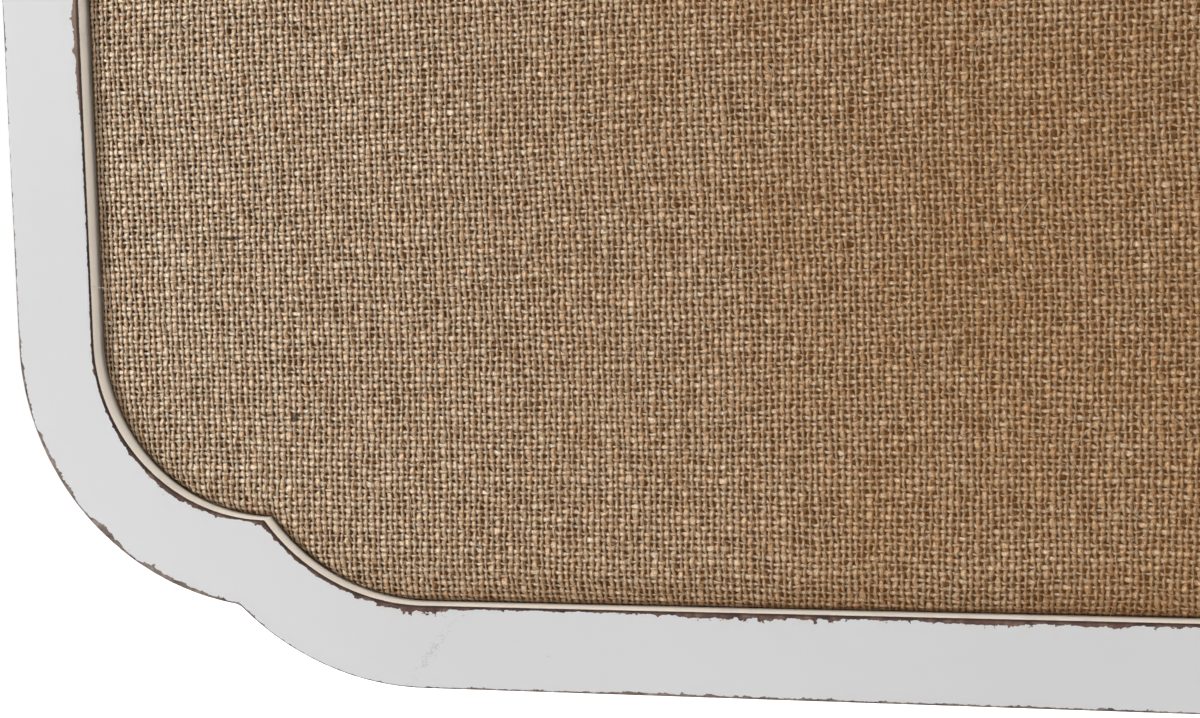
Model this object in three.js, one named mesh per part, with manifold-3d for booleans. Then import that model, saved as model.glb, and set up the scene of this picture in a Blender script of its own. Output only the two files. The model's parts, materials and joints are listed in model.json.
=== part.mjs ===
// French memo board: a padded burlap panel in a white painted wooden frame with scalloped corners.
// Millimetres, +Z up. The board hangs on a wall: the wall is the plane y = 0 and the front looks along -Y.
// The origin is on the wall, midway between the pins of the two hanging rings.
import * as THREE from 'three';
import { mergeVertices } from 'three/addons/utils/BufferGeometryUtils.js';
import Module from 'manifold-3d';

const wasm = await Module();
wasm.setup();

// Outline of the frame
const BOARD_WIDTH = 610;
const BOARD_HEIGHT = 914;
const FACE_WIDTH = 28.4;
const CORNER_WIDTH = 146; // from the outer side to where the rail runs straight
const CORNER_HEIGHT = 119; // from the outer end to where the stile runs straight
const OUTER_SIDE_RADIUS = 92.5; // full arc that leaves the stile
const OUTER_RAIL_RADIUS = 94.2; // flatter arc that runs onto the rail
const OUTER_CUSP_RADIUS = 6; // round that a cutter leaves where the two outer arcs meet
const SIGHT_SIDE_RADIUS = 62;
const SIGHT_RAIL_RADIUS = 69.8;
const SIDE_ARC_STEPS = 10;
const RAIL_ARC_STEPS = 6;
const CUSP_STEPS = 4;

// Section of the moulding, and the layers that fill its rebate
const LIP_DEPTH = 8.5;
const REBATE_WIDTH = 7;
const EDGE_EASE = 0.8;
const PANEL_THICKNESS = 3;
const CLOTH_THICKNESS = 1;
const CORE_THICKNESS = 4.5;
const PAD_RIM = 1; // padding squeezed behind the lip
const SEAT_GAP = 0.2; // between pieces that lie on each other
const EDGE_FIT = 0.6; // between a panel's edge and the wall beside it
const CROWN_DEPTH = 4; // how far the cloth lies below the frame's face
const ROLL_WIDTH = 14; // how far in from the lip the cloth reaches its crown
const ROLL_STEPS = 4;
const HEM_WIDTH = 25;

// Joints of the frame
const JOINT_SETBACK = 6; // straight length that a corner block adds to each of its arcs
const GLUE_LINE = 0.2;
const DOWEL_DIAMETER = 6;
const DOWEL_LENGTH = 36;
const DOWEL_SPACING = 9;
const DOWEL_FIT = 0.25;
const DOWEL_END_GAP = 0.5;
const DOWEL_CHAMFER = 0.8;

// Pan-head screws
const SHANK_DIAMETER = 3;
const SCREW_LENGTH = 11;
const SCREW_POINT = 2.5;
const HEAD_DIAMETER = 6.4;
const HEAD_HEIGHT = 1.8;
const HEAD_RIM = 0.7;
const HEAD_FLAT = 3.4;
const SCREW_FIT = 0.2;
const SCREW_END_GAP = 0.5;

// Turn buttons that hold the back panel
const TURN_INSET = 14; // from the frame's outer edge to the screw
const TURN_SPACING = 200; // between the buttons along a stile
const TURN_REACH = 17;
const TURN_WIDTH = 11;
const TURN_TIP_WIDTH = 8;
const TURN_THICKNESS = 1.2;

// Strap hangers with rings
const HANGER_DROP = 170; // from the top edge down to the rings' pins
const HANGER_INSET = 14; // from the frame's outer edge to the strap's middle
const STRAP_WIDTH = 8;
const STRAP_LENGTH = 36;
const STRAP_THICKNESS = 1;
const STRAP_FIRST_SCREW = 8.5;
const STRAP_SCREW_SPACING = 21.5;
const RING_ROD = 2.4;
const RING_FIT = 0.3;
const RING_INNER_WIDTH = 20;
const RING_INNER_DEPTH = 16;
const RING_STEPS = 16;
const ROD_SIDES = 8;

// Felt bumpers, which set how far the frame's back stands off the wall
const BUMPER_HEIGHT = 6;
const BUMPER_DIAMETER = 12;
const BUMPER_ANGLE = 225; // degrees round the side arc of a lower left corner

const ROUND_SIDES = 12;

// Depths, measured forward from the wall
const HEM_BACK = BUMPER_HEIGHT + PANEL_THICKNESS + SEAT_GAP;
const CORE_BACK = HEM_BACK + CLOTH_THICKNESS + SEAT_GAP;
const PAD_BACK = CORE_BACK + CORE_THICKNESS + SEAT_GAP;
const PAD_RIM_FRONT = PAD_BACK + PAD_RIM;
const CLOTH_RIM_BACK = PAD_RIM_FRONT + SEAT_GAP;
const CLOTH_RIM_FRONT = CLOTH_RIM_BACK + CLOTH_THICKNESS;
const SHOULDER = CLOTH_RIM_FRONT + SEAT_GAP;
const FACE = SHOULDER + LIP_DEPTH;
const FRAME_DEPTH = FACE - BUMPER_HEIGHT;
const CROWN = FACE - CROWN_DEPTH;
const BACK_Y = -BUMPER_HEIGHT;

// Widths, measured in from the frame's outer edge
const REBATE_EDGE = FACE_WIDTH - REBATE_WIDTH;
const DOWEL_LINE = REBATE_EDGE / 2;

// Colours and finish
const PAINT = { color: 0xdadadb, roughness: 0.5, metalness: 0 };
const BEECH = { color: 0xc8a878, roughness: 0.7, metalness: 0 };
const BURLAP = { color: 0xa98a62, roughness: 0.95, metalness: 0 };
const WADDING = { color: 0xeceae4, roughness: 1, metalness: 0 };
const FIBREBOARD = { color: 0x8e7355, roughness: 0.9, metalness: 0 };
const HARDBOARD = { color: 0x6e4a30, roughness: 0.75, metalness: 0 };
const ZINC = { color: 0xb9bcc0, roughness: 0.35, metalness: 1 };
const FELT = { color: 0x3a3836, roughness: 1, metalness: 0 };

const CORNERS = [
  { name: 'lower_left', right: -1, up: -1 },
  { name: 'lower_right', right: 1, up: -1 },
  { name: 'upper_right', right: 1, up: 1 },
  { name: 'upper_left', right: -1, up: 1 },
];

// The two edges that the frame follows: its outside, and the sight edge round the cloth
const OUTER = { margin: 0, side: OUTER_SIDE_RADIUS, rail: OUTER_RAIL_RADIUS, cusp: OUTER_CUSP_RADIUS };
const SIGHT = { margin: FACE_WIDTH, side: SIGHT_SIDE_RADIUS, rail: SIGHT_RAIL_RADIUS, cusp: 0 };

// One corner's two arcs, from the stile to the rail, measured from the board's outer corner.
// They meet in a sharp cusp, or in a small round that touches both from outside
function cornerPoints(edge, inset) {
  const sideCentre = new THREE.Vector2(edge.margin + edge.side, CORNER_HEIGHT);
  const railCentre = new THREE.Vector2(CORNER_WIDTH, edge.margin + edge.rail);
  const sideRadius = edge.side - inset;
  const railRadius = edge.rail - inset;
  const cuspRadius = edge.cusp > 0 ? edge.cusp + inset : 0;
  const sideReach = sideRadius + cuspRadius;
  const railReach = railRadius + cuspRadius;
  const between = railCentre.clone().sub(sideCentre);
  const distance = between.length();
  const along = (sideReach ** 2 - railReach ** 2 + distance ** 2) / (2 * distance);
  const sideEnd = between.angle() - Math.acos(along / sideReach);
  const cuspCentre = new THREE.Vector2(Math.cos(sideEnd), Math.sin(sideEnd));
  cuspCentre.multiplyScalar(sideReach).add(sideCentre);
  const railStart = cuspCentre.clone().sub(railCentre).angle();
  const side = arcPoints(sideCentre, sideRadius, Math.PI, sideEnd, SIDE_ARC_STEPS);
  const rail = arcPoints(railCentre, railRadius, railStart, 1.5 * Math.PI, RAIL_ARC_STEPS);
  const round = arcPoints(cuspCentre, cuspRadius, sideEnd - Math.PI, railStart - Math.PI, CUSP_STEPS, true);
  return [...side, ...(cuspRadius > 0 ? round.slice(1) : []), ...rail.slice(1)];
}

function arcPoints(centre, radius, from, to, steps, clockwise = false) {
  return new THREE.EllipseCurve(centre.x, centre.y, radius, radius, from, to, clockwise).getPoints(steps);
}

// The whole outline, counter-clockwise as seen from the front, about the board's middle
function outlinePoints(edge, inset = 0) {
  const corner = cornerPoints(edge, inset);
  const outline = [];
  for (const { right, up } of CORNERS) {
    const placed = corner.map((p) => cornerPlace(right, up, p.x, p.y));
    outline.push(...(right === up ? placed : placed.reverse()));
  }
  return outline;
}

// A point given by its distances in from the outer side and from the outer end at one corner
function cornerPlace(right, up, fromSide, fromEnd) {
  return new THREE.Vector2(right * (BOARD_WIDTH / 2 - fromSide), up * (BOARD_HEIGHT / 2 - fromEnd));
}

// A closed geometry as a solid for joining and cutting
function solid(geometry) {
  const bare = new THREE.BufferGeometry();
  bare.setAttribute('position', geometry.getAttribute('position'));
  bare.setIndex(geometry.getIndex());
  const merged = mergeVertices(bare, 1e-4);
  const corners = merged.getIndex().array;
  const kept = [];
  for (let i = 0; i < corners.length; i += 3) {
    const [a, b, c] = [corners[i], corners[i + 1], corners[i + 2]];
    if (a !== b && b !== c && c !== a) {
      kept.push(a, b, c);
    }
  }
  return new wasm.Manifold(new wasm.Mesh({
    numProp: 3,
    vertProperties: new Float32Array(merged.getAttribute('position').array),
    triVerts: new Uint32Array(kept),
  }));
}

function geometryOf(body) {
  const { vertProperties, triVerts } = body.getMesh();
  const geometry = new THREE.BufferGeometry();
  geometry.setAttribute('position', new THREE.BufferAttribute(vertProperties, 3));
  geometry.setIndex(new THREE.BufferAttribute(triVerts, 1));
  geometry.computeVertexNormals();
  return geometry;
}

// A flat shape in x and z, given thickness forward from one depth to another
function slab(shape, from, to) {
  const geometry = new THREE.ExtrudeGeometry(shape, { depth: to - from, bevelEnabled: false });
  return solid(geometry.translate(0, 0, from).rotateX(Math.PI / 2));
}

function box(xFrom, xTo, yFrom, yTo, zFrom, zTo) {
  const geometry = new THREE.BoxGeometry(xTo - xFrom, yTo - yFrom, zTo - zFrom);
  return solid(geometry.translate((xFrom + xTo) / 2, (yFrom + yTo) / 2, (zFrom + zTo) / 2));
}

// A skin over rings of the same outline, each at its own inset and depth, closed front and back
function loft(rings) {
  const outlines = rings.map(([inset]) => outlinePoints(SIGHT, inset));
  const count = outlines[0].length;
  const positions = [];
  outlines.forEach((outline, ring) => {
    outline.forEach((p) => positions.push(p.x, -rings[ring][1], p.y));
  });
  const index = [];
  for (let ring = 0; ring + 1 < rings.length; ring += 1) {
    for (let i = 0; i < count; i += 1) {
      const a = ring * count + i;
      const b = ring * count + ((i + 1) % count);
      index.push(a, b, b + count, a, b + count, a + count);
    }
  }
  const front = (rings.length - 1) * count;
  for (const [a, b, c] of THREE.ShapeUtils.triangulateShape(outlines[0], [])) {
    index.push(a, c, b);
  }
  for (const [a, b, c] of THREE.ShapeUtils.triangulateShape(outlines.at(-1), [])) {
    index.push(front + a, front + b, front + c);
  }
  const geometry = new THREE.BufferGeometry();
  geometry.setAttribute('position', new THREE.Float32BufferAttribute(positions, 3));
  geometry.setIndex(index);
  return solid(geometry);
}

// Rings of a padded panel: a square edge behind the lip, then a quarter-oval roll up to the crown
function paddedRings(edgeInset, back, rim, rollStart, rollWidth, crown) {
  const rings = [[edgeInset, back], [edgeInset, rim]];
  for (let step = 0; step <= ROLL_STEPS; step += 1) {
    const turn = (step / ROLL_STEPS) * (Math.PI / 2);
    rings.push([rollStart + rollWidth * (1 - Math.cos(turn)), rim + (crown - rim) * Math.sin(turn)]);
  }
  return rings;
}

// Sixteen dowels, two in each butt joint, and the holes that they sit in
function dowelPlaces() {
  const places = [];
  const depth = -(BUMPER_HEIGHT + FRAME_DEPTH / 2);
  for (const { name, right, up } of CORNERS) {
    [-0.5, 0.5].forEach((shift, i) => {
      const line = DOWEL_LINE + shift * DOWEL_SPACING;
      const stile = cornerPlace(right, up, line, CORNER_HEIGHT + JOINT_SETBACK + GLUE_LINE / 2);
      const rail = cornerPlace(right, up, CORNER_WIDTH + JOINT_SETBACK + GLUE_LINE / 2, line);
      places.push({ name: `${name}_stile_dowel_${i + 1}`, at: [stile.x, depth, stile.y], upright: true });
      places.push({ name: `${name}_rail_dowel_${i + 1}`, at: [rail.x, depth, rail.y], upright: false });
    });
  }
  return places;
}

function dowelGeometry(upright) {
  const radius = DOWEL_DIAMETER / 2;
  const half = DOWEL_LENGTH / 2;
  const profile = [
    new THREE.Vector2(0, -half),
    new THREE.Vector2(radius - DOWEL_CHAMFER, -half),
    new THREE.Vector2(radius, DOWEL_CHAMFER - half),
    new THREE.Vector2(radius, half - DOWEL_CHAMFER),
    new THREE.Vector2(radius - DOWEL_CHAMFER, half),
    new THREE.Vector2(0, half),
  ];
  return turned(new THREE.LatheGeometry(profile, ROUND_SIDES), upright);
}

function dowelHole({ at, upright }) {
  const radius = DOWEL_DIAMETER / 2 + DOWEL_FIT;
  const length = DOWEL_LENGTH + 2 * DOWEL_END_GAP;
  const hole = new THREE.CylinderGeometry(radius, radius, length, ROUND_SIDES);
  return solid(turned(hole, upright).translate(...at));
}

// From an axis along Y to one along Z or X
function turned(geometry, upright) {
  return upright ? geometry.rotateX(Math.PI / 2) : geometry.rotateZ(Math.PI / 2);
}

// Where the turn buttons sit, with the angle about Y that points each one in over the back panel
function turnPlaces() {
  const side = BOARD_WIDTH / 2 - TURN_INSET;
  const end = BOARD_HEIGHT / 2 - TURN_INSET;
  const places = [];
  [['upper', 1], ['middle', 0], ['lower', -1]].forEach(([name, step]) => {
    places.push({ name: `left_${name}_turn`, x: -side, z: step * TURN_SPACING, angle: 0 });
    places.push({ name: `right_${name}_turn`, x: side, z: step * TURN_SPACING, angle: Math.PI });
  });
  places.push({ name: 'top_turn', x: 0, z: end, angle: Math.PI / 2 });
  places.push({ name: 'bottom_turn', x: 0, z: -end, angle: -Math.PI / 2 });
  return places;
}

function turnButton() {
  const shape = new THREE.Shape();
  const root = TURN_WIDTH / 2;
  const tip = TURN_TIP_WIDTH / 2;
  shape.absarc(0, 0, root, Math.PI / 2, 1.5 * Math.PI);
  shape.absarc(TURN_REACH - tip, 0, tip, -Math.PI / 2, Math.PI / 2);
  const hole = new THREE.Path();
  hole.absarc(0, 0, SHANK_DIAMETER / 2 + SCREW_FIT, 0, 2 * Math.PI);
  shape.holes.push(hole);
  const options = { depth: TURN_THICKNESS, bevelEnabled: false, curveSegments: ROUND_SIDES / 2 };
  return geometryOf(solid(new THREE.ExtrudeGeometry(shape, options).rotateX(Math.PI / 2)));
}

// A screw with the underside of its head at the origin and its point towards -Y
function screw() {
  const shank = SHANK_DIAMETER / 2;
  const profile = [
    new THREE.Vector2(0, -SCREW_LENGTH),
    new THREE.Vector2(shank, SCREW_POINT - SCREW_LENGTH),
    new THREE.Vector2(shank, 0),
    new THREE.Vector2(HEAD_DIAMETER / 2, 0),
    new THREE.Vector2(HEAD_DIAMETER / 2, HEAD_RIM),
    new THREE.Vector2(HEAD_FLAT / 2, HEAD_HEIGHT),
    new THREE.Vector2(0, HEAD_HEIGHT),
  ];
  return geometryOf(solid(new THREE.LatheGeometry(profile, ROUND_SIDES)));
}

// The hole for a screw whose head is seated at a given y
function screwHole(x, y, z) {
  const radius = SHANK_DIAMETER / 2 + SCREW_FIT;
  const length = SCREW_LENGTH + SCREW_END_GAP;
  const hole = new THREE.CylinderGeometry(radius, radius, length, ROUND_SIDES);
  return solid(hole.translate(x, y - length / 2, z));
}

const TURN_HEAD_Y = BACK_Y + TURN_THICKNESS + 2 * SEAT_GAP;
const STRAP_HEAD_Y = BACK_Y + STRAP_THICKNESS + 2 * SEAT_GAP;
const PIN_BORE = RING_ROD / 2 + RING_FIT;
const KNUCKLE_RADIUS = PIN_BORE + STRAP_THICKNESS;
const PIN_Y = BACK_Y + SEAT_GAP + KNUCKLE_RADIUS;
const PIN_Z = BOARD_HEIGHT / 2 - HANGER_DROP;
const HANGER_SIDES = [['left', -1], ['right', 1]];
const STRAP_SCREWS = [
  ['upper', PIN_Z - STRAP_FIRST_SCREW],
  ['lower', PIN_Z - STRAP_FIRST_SCREW - STRAP_SCREW_SPACING],
];

function hangerX(right) {
  return right * (BOARD_WIDTH / 2 - HANGER_INSET);
}

// A steel strap rolled into a knuckle at its top, with a rounded foot and two screw holes
function hangerStrap() {
  const side = new THREE.Shape();
  const meet = Math.asin((STRAP_THICKNESS - KNUCKLE_RADIUS) / KNUCKLE_RADIUS);
  side.moveTo(-STRAP_LENGTH, -KNUCKLE_RADIUS);
  side.lineTo(0, -KNUCKLE_RADIUS);
  side.absarc(0, 0, KNUCKLE_RADIUS, -Math.PI / 2, Math.PI - meet);
  side.lineTo(-STRAP_LENGTH, STRAP_THICKNESS - KNUCKLE_RADIUS);
  const bore = new THREE.Path();
  bore.absarc(0, 0, PIN_BORE, 0, 2 * Math.PI);
  side.holes.push(bore);
  const options = { depth: STRAP_WIDTH, bevelEnabled: false, curveSegments: ROUND_SIDES / 2 };
  const strip = new THREE.ExtrudeGeometry(side, options).translate(0, 0, -STRAP_WIDTH / 2);
  const toBack = new THREE.Matrix4().makeBasis(
    new THREE.Vector3(0, 0, 1),
    new THREE.Vector3(0, 1, 0),
    new THREE.Vector3(-1, 0, 0),
  );
  const plan = new THREE.Shape();
  const half = STRAP_WIDTH / 2;
  plan.moveTo(half, 2 * KNUCKLE_RADIUS);
  plan.lineTo(-half, 2 * KNUCKLE_RADIUS);
  plan.absarc(0, half - STRAP_LENGTH, half, Math.PI, 2 * Math.PI);
  const foot = slab(plan, -2 * KNUCKLE_RADIUS, 2 * KNUCKLE_RADIUS);
  let strap = solid(strip.applyMatrix4(toBack)).intersect(foot);
  for (const [, z] of STRAP_SCREWS) {
    strap = strap.subtract(screwHole(0, KNUCKLE_RADIUS, z - PIN_Z));
  }
  return geometryOf(strap);
}

// A round rod bent to a D: a straight bar through the knuckle and a bow that hangs below it
function hangerRing() {
  const halfWidth = (RING_INNER_WIDTH + RING_ROD) / 2;
  const depth = RING_INNER_DEPTH + RING_ROD / 2;
  const radius = RING_ROD / 2;
  const bow = [];
  for (let step = 0; step <= RING_STEPS; step += 1) {
    const turn = Math.PI * (step / RING_STEPS);
    bow.push(new THREE.Vector3(-halfWidth * Math.cos(turn), 0, -depth * Math.sin(turn)));
  }
  const section = new THREE.Shape();
  section.absarc(0, 0, radius, 0, 2 * Math.PI);
  const path = new THREE.CatmullRomCurve3(bow);
  const options = { steps: RING_STEPS, extrudePath: path, bevelEnabled: false, curveSegments: ROD_SIDES / 2 };
  const bar = new THREE.CylinderGeometry(radius, radius, 2 * halfWidth + radius, ROD_SIDES);
  const bent = solid(new THREE.ExtrudeGeometry(section, options));
  return geometryOf(bent.add(solid(bar.rotateZ(Math.PI / 2))));
}

// The frame as one ring with its rebate, eased arrises and every hole, before it is cut into members
function frameRing() {
  const shape = new THREE.Shape(outlinePoints(OUTER));
  shape.holes.push(new THREE.Path(outlinePoints(SIGHT)));
  const geometry = new THREE.ExtrudeGeometry(shape, {
    depth: FRAME_DEPTH - 2 * EDGE_EASE,
    bevelEnabled: true,
    bevelSegments: 1,
    bevelThickness: EDGE_EASE,
    bevelSize: EDGE_EASE,
    bevelOffset: -EDGE_EASE,
  });
  let ring = solid(geometry.translate(0, 0, BUMPER_HEIGHT + EDGE_EASE).rotateX(Math.PI / 2));
  ring = ring.subtract(loft([[-REBATE_WIDTH, 0], [-REBATE_WIDTH, SHOULDER]]));
  for (const place of dowelPlaces()) {
    ring = ring.subtract(dowelHole(place));
  }
  for (const { x, z } of turnPlaces()) {
    ring = ring.subtract(screwHole(x, TURN_HEAD_Y, z));
  }
  for (const [, right] of HANGER_SIDES) {
    for (const [, z] of STRAP_SCREWS) {
      ring = ring.subtract(screwHole(hangerX(right), STRAP_HEAD_Y, z));
    }
  }
  return ring;
}

const model = new THREE.Group();
model.position.z = -PIN_Z;

function add(name, geometry, finish, x = 0, y = 0, z = 0, angle = 0) {
  const mesh = new THREE.Mesh(geometry, new THREE.MeshStandardMaterial(finish));
  mesh.name = name;
  mesh.position.set(x, y, z);
  mesh.rotation.y = angle;
  model.add(mesh);
}

// Frame: two stiles, two rails and four scalloped corner blocks
function addFrame() {
  const ring = frameRing();
  const halfWidth = BOARD_WIDTH / 2;
  const halfHeight = BOARD_HEIGHT / 2;
  const railEnd = halfWidth - CORNER_WIDTH - JOINT_SETBACK;
  const stileEnd = halfHeight - CORNER_HEIGHT - JOINT_SETBACK;
  const [yFrom, yTo] = [-2 * FACE, FACE];
  const member = (name, xFrom, xTo, zFrom, zTo) => {
    add(name, geometryOf(ring.intersect(box(xFrom, xTo, yFrom, yTo, zFrom, zTo))), PAINT);
  };
  const stileTop = stileEnd - GLUE_LINE;
  const railRight = railEnd - GLUE_LINE;
  member('left_stile', -BOARD_WIDTH, 0, -stileTop, stileTop);
  member('right_stile', 0, BOARD_WIDTH, -stileTop, stileTop);
  member('top_rail', -railRight, railRight, 0, BOARD_HEIGHT);
  member('bottom_rail', -railRight, railRight, -BOARD_HEIGHT, 0);
  for (const { name, right, up } of CORNERS) {
    const xs = [right * railEnd, right * BOARD_WIDTH].sort((a, b) => a - b);
    const zs = [up * stileEnd, up * BOARD_HEIGHT].sort((a, b) => a - b);
    member(`${name}_corner`, xs[0], xs[1], zs[0], zs[1]);
  }
  for (const { name, at, upright } of dowelPlaces()) {
    add(name, geometryOf(solid(dowelGeometry(upright))), BEECH, ...at);
  }
}

// Insert: a fibreboard core and its wadding, in a burlap cover that is turned in behind the core
function addInsert() {
  const clothEdge = EDGE_FIT - REBATE_WIDTH;
  const innerEdge = clothEdge + CLOTH_THICKNESS;
  const padEdge = innerEdge + SEAT_GAP;
  const coreShape = new THREE.Shape(outlinePoints(SIGHT, padEdge));
  add('insert_core', geometryOf(slab(coreShape, CORE_BACK, CORE_BACK + CORE_THICKNESS)), FIBREBOARD);

  const rollStart = EDGE_FIT + CLOTH_THICKNESS;
  const innerRoll = ROLL_WIDTH - CLOTH_THICKNESS;
  const innerCrown = CROWN - CLOTH_THICKNESS;
  const padding = loft(paddedRings(
    padEdge, PAD_BACK, PAD_RIM_FRONT, rollStart + SEAT_GAP, innerRoll - SEAT_GAP, innerCrown - SEAT_GAP,
  ));
  add('insert_padding', geometryOf(padding), WADDING);

  const outside = loft(paddedRings(clothEdge, HEM_BACK, CLOTH_RIM_FRONT, EDGE_FIT, ROLL_WIDTH, CROWN));
  const hemFront = HEM_BACK + CLOTH_THICKNESS;
  const inside = loft(paddedRings(innerEdge, hemFront, CLOTH_RIM_BACK, rollStart, innerRoll, innerCrown));
  const hemEdge = clothEdge + HEM_WIDTH;
  const opening = loft([[hemEdge, HEM_BACK - CLOTH_THICKNESS], [hemEdge, hemFront + CLOTH_THICKNESS]]);
  add('burlap_cover', geometryOf(outside.subtract(inside).subtract(opening)), BURLAP);
}

// Back: a hardboard panel flush in the rebate, held by turn buttons on screws
function addBack() {
  const panelShape = new THREE.Shape(outlinePoints(SIGHT, EDGE_FIT - REBATE_WIDTH));
  const panel = slab(panelShape, BUMPER_HEIGHT, BUMPER_HEIGHT + PANEL_THICKNESS);
  add('back_panel', geometryOf(panel), HARDBOARD);
  for (const { name, x, z, angle } of turnPlaces()) {
    add(`${name}_button`, turnButton(), ZINC, x, BACK_Y + SEAT_GAP + TURN_THICKNESS, z, angle);
    add(`${name}_screw`, screw(), ZINC, x, TURN_HEAD_Y, z);
  }
}

// Hanging hardware: a strap hanger with its ring on each stile, and a felt bumper on each corner block
function addHangers() {
  for (const [side, right] of HANGER_SIDES) {
    const x = hangerX(right);
    add(`${side}_hanger_strap`, hangerStrap(), ZINC, x, PIN_Y, PIN_Z);
    add(`${side}_hanger_ring`, hangerRing(), ZINC, x, PIN_Y, PIN_Z);
    for (const [place, z] of STRAP_SCREWS) {
      add(`${side}_hanger_${place}_screw`, screw(), ZINC, x, STRAP_HEAD_Y, z);
    }
  }
  const reach = OUTER_SIDE_RADIUS - DOWEL_LINE;
  const turn = THREE.MathUtils.degToRad(BUMPER_ANGLE);
  const fromSide = OUTER_SIDE_RADIUS + reach * Math.cos(turn);
  const fromEnd = CORNER_HEIGHT + reach * Math.sin(turn);
  for (const { name, right, up } of CORNERS) {
    const { x, y: z } = cornerPlace(right, up, fromSide, fromEnd);
    const radius = BUMPER_DIAMETER / 2;
    const disc = new THREE.CylinderGeometry(radius, radius, BUMPER_HEIGHT, 2 * ROUND_SIDES);
    add(`${name}_bumper`, disc, FELT, x, -BUMPER_HEIGHT / 2, z);
  }
}

addFrame();
addInsert();
addBack();
addHangers();

export default model;
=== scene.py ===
"""Looks of a memo board: a rubbed white frame with scalloped corners round a padded burlap panel."""
import json
import math

import bmesh
import bpy
import numpy as np
from mathutils import Matrix, Vector


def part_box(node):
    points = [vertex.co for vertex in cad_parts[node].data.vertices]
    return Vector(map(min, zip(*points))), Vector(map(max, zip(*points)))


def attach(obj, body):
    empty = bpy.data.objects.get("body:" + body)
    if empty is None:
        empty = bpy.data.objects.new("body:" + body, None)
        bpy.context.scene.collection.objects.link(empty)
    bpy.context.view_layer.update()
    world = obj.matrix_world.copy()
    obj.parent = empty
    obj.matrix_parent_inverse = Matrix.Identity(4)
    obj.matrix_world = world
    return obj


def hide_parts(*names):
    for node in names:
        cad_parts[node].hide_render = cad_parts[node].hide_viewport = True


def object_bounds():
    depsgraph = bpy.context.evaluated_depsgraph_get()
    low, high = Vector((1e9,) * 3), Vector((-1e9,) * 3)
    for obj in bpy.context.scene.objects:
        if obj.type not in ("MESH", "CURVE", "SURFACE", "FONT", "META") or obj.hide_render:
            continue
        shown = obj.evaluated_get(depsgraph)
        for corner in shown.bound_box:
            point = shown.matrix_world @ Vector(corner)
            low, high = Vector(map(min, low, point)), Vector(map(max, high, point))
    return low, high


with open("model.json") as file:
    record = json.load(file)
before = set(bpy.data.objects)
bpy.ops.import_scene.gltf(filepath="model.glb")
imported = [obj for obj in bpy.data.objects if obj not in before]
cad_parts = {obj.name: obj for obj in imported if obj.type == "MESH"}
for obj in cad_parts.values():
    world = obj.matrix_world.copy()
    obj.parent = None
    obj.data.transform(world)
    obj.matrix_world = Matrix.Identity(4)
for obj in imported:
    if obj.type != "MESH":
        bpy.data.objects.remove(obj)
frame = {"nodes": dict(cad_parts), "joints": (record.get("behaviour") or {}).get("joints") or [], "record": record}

CAD_LOW, CAD_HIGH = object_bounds()
MM = 0.001

# Board and corner sizes in mm, from the frame and as in the solids
BOARD_WIDTH = (CAD_HIGH.x - CAD_LOW.x) / MM
BOARD_HEIGHT = (CAD_HIGH.z - CAD_LOW.z) / MM
BOARD_MIDDLE_Z = (CAD_HIGH.z + CAD_LOW.z) / 2 / MM
LEFT_SIDE = -BOARD_WIDTH / 2
LOWER_END = BOARD_MIDDLE_Z - BOARD_HEIGHT / 2
FACE = -CAD_LOW.y / MM
BACK = -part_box("left_stile")[1].y / MM
FACE_WIDTH = (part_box("left_stile")[1].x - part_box("left_stile")[0].x) / MM
CORNER_WIDTH = 146
CORNER_HEIGHT = 119
JOINT_SETBACK = 6.1
OUTER = {"margin": 0, "side": 92.5, "rail": 94.2, "cusp": 6}
SIGHT = {"margin": FACE_WIDTH, "side": 62, "rail": 69.8, "cusp": 0}
CORNERS = {"lower_left": (-1, -1), "lower_right": (1, -1), "upper_right": (1, 1), "upper_left": (-1, 1)}
EDGE_EASE = 0.8
LIP_DEPTH = 8.5
REBATE_WIDTH = 7
SHOULDER = FACE - LIP_DEPTH

# How finely the frame is divided: steps along each part, rows in mm from an arris, shares of the face
SIDE_STEPS = 130
RAIL_STEPS = 72
CUSP_STEPS = 12
SETBACK_STEPS = 6
EASE_STEPS = 5
SIDE_ROWS = 5
WALL_ROWS = 6
NEAR_ARRIS = [1.1, 1.5, 2, 2.6, 3.4, 4.6, 6.5]
ACROSS_FACE = [0.35, 0.5, 0.65]
SURFACES = ("face", "wall", "back")
FAR = 99.0
DENT_DEPTH = 0.22
DENT_REACH = 1.6
DENT_LIMITS = (0.2, 1.5)
WEAR_MEAN = 0.55
WEAR_LIMITS = (0.05, 2.2)

# Padded panel in mm: cloth over wadding over a core, and the hardboard back
CROWN = FACE - 4
CLOTH_RIM = SHOULDER - 0.2
CLOTH_INSET = 0.25
ROLL_WIDTH = 14
ROLL_STEPS = 12
CLOTH_EDGE = -6.4
CLOTH_BEND = 0.6
HEM_WIDTH = 25
HEM_BACK = 9.2
CLOTH_STEP = 3.5
CLOTH_WAVE = 0.35
THREAD_PITCH = (2.12, 2.26)
WADDING_RIM = CLOTH_RIM - 1.2
WADDING_CROWN = CROWN - 1.5
WADDING_INSET = 1.8
WADDING_ROLL = 12.8
WADDING_ROLL_STEPS = 6
WADDING_EDGE = CLOTH_EDGE + 1.2
WADDING_STEP = 8
PANEL_EASE = 0.3
PANEL_STEP = 6
HALF_SIDE_ARC = 60
RAIL_ARC = 70

# Loose fibres, in mm
FIBRE_COUNT = 1300
FIBRE_RADIUS = 0.1
FIBRE_TAPER = 0.6
PLACED_RADIUS = 0.17
FIBRE_SIDES = 3
FIBRE_STEPS = 6
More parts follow.
